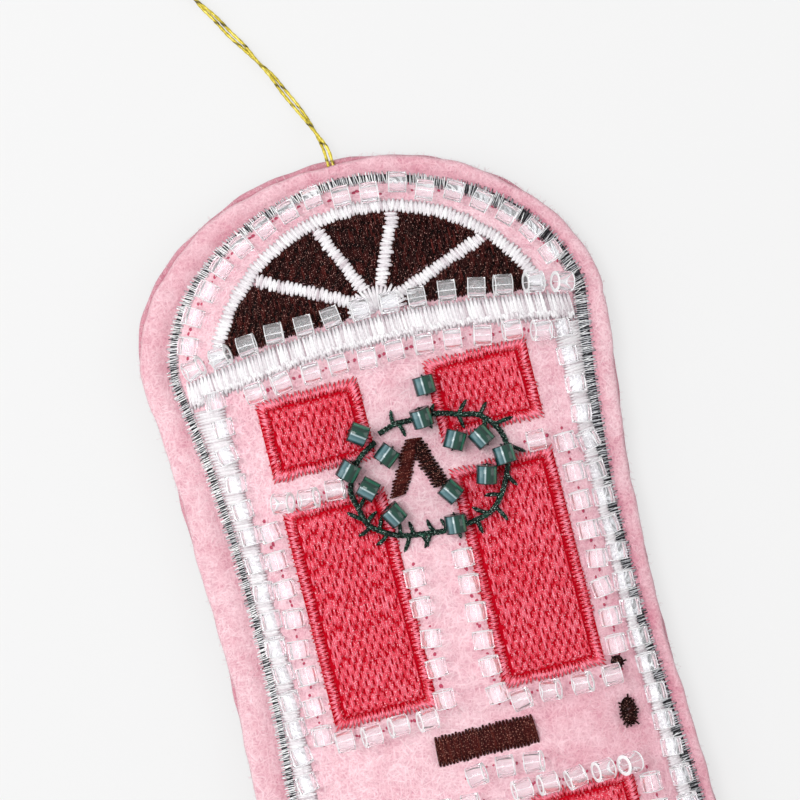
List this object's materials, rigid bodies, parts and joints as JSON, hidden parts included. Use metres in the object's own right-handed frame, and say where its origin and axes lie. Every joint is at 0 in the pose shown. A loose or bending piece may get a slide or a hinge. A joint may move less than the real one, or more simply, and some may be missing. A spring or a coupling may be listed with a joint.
{
  "type": "door hanging ornament",
  "caption": "Padded felt ornament cut and embroidered as an arched front door with fanlight, panels and wreath, edged with glass beads, on a thread hanging loop.",
  "frame": {"origin": "centre of the felt door's bounding box on the plane that its back lies on, without the hanging loop", "axes": "+X to the door's right seen from the front, +Y up the door, +Z out of its embroidered face; it lies on its back"},
  "size_m": [0.0672, 0.1724, 0.0119],
  "materials": {
    "front_felt": "matte",
    "back_felt": "matte",
    "padding": "matte",
    "silver_thread": "metallic",
    "pale_pink_thread": "matte",
    "white_thread": "satin",
    "brown_thread": "satin",
    "red_thread": "satin",
    "green_thread": "satin",
    "gold_thread": "metallic",
    "clear_glass": "gloss",
    "teal_glass": "gloss"
  },
  "bodies": {
    "door": {"back_felt": "back_felt", "front_felt": "front_felt", "stuffing_pad": "padding", "silver_seam_stitch": "silver_thread", "back_seam_stitch": "pale_pink_thread", "fanlight_arch_stitch": "white_thread", "fanlight_bar_1": "white_thread", "fanlight_bar_2": "white_thread", "fanlight_bar_3": "white_thread", "fanlight_bar_4": "white_thread", "fanlight_pane_1": "brown_thread", "fanlight_pane_2": "brown_thread", "fanlight_pane_3": "brown_thread", "fanlight_pane_4": "brown_thread", "fanlight_pane_5": "brown_thread", "fanlight_hub_stitch": "white_thread", "transom_stitch": "white_thread", "left_pilaster_stitch": "white_thread", "right_pilaster_stitch": "white_thread", "upper_left_panel": "red_thread", "upper_right_panel": "red_thread", "tall_left_panel": "red_thread", "tall_right_panel": "red_thread", "bottom_left_panel": "red_thread", "bottom_right_panel": "red_thread", "mail_slot_stitch": "brown_thread", "door_knob_stitch": "brown_thread", "deadbolt_stitch": "brown_thread", "knocker_stitch": "brown_thread", "wreath_vine": "green_thread", "wreath_bead_01": "teal_glass", "wreath_bead_02": "teal_glass", "wreath_bead_03": "teal_glass", "wreath_bead_04": "teal_glass", "wreath_bead_05": "teal_glass", "wreath_bead_06": "teal_glass", "wreath_bead_07": "teal_glass", "wreath_bead_08": "teal_glass", "wreath_bead_09": "teal_glass", "wreath_bead_10": "teal_glass", "wreath_bead_11": "teal_glass", "wreath_bead_12": "teal_glass", "wreath_bead_13": "teal_glass", "arch_beads": "clear_glass", "transom_upper_beads": "clear_glass", "transom_lower_beads": "clear_glass", "left_pilaster_beads": "clear_glass", "right_pilaster_beads": "clear_glass", "tall_left_beads": "clear_glass", "tall_right_beads": "clear_glass", "bottom_left_beads": "clear_glass", "bottom_right_beads": "clear_glass", "left_rail_beads": "clear_glass", "right_rail_bead": "clear_glass", "mail_slot_beads": "clear_glass", "loop_knot": "gold_thread"},
    "loop": {"hanging_loop": "gold_thread"}
  },
  "joints": [
    {"name": "loop_swing", "type": "hinge", "parent": "door", "child": "loop", "pos_m": [-0.0001, 0.05795, 0.0028], "axis": [0, 0, 1], "range_deg": [-60, 30]}
  ]
}
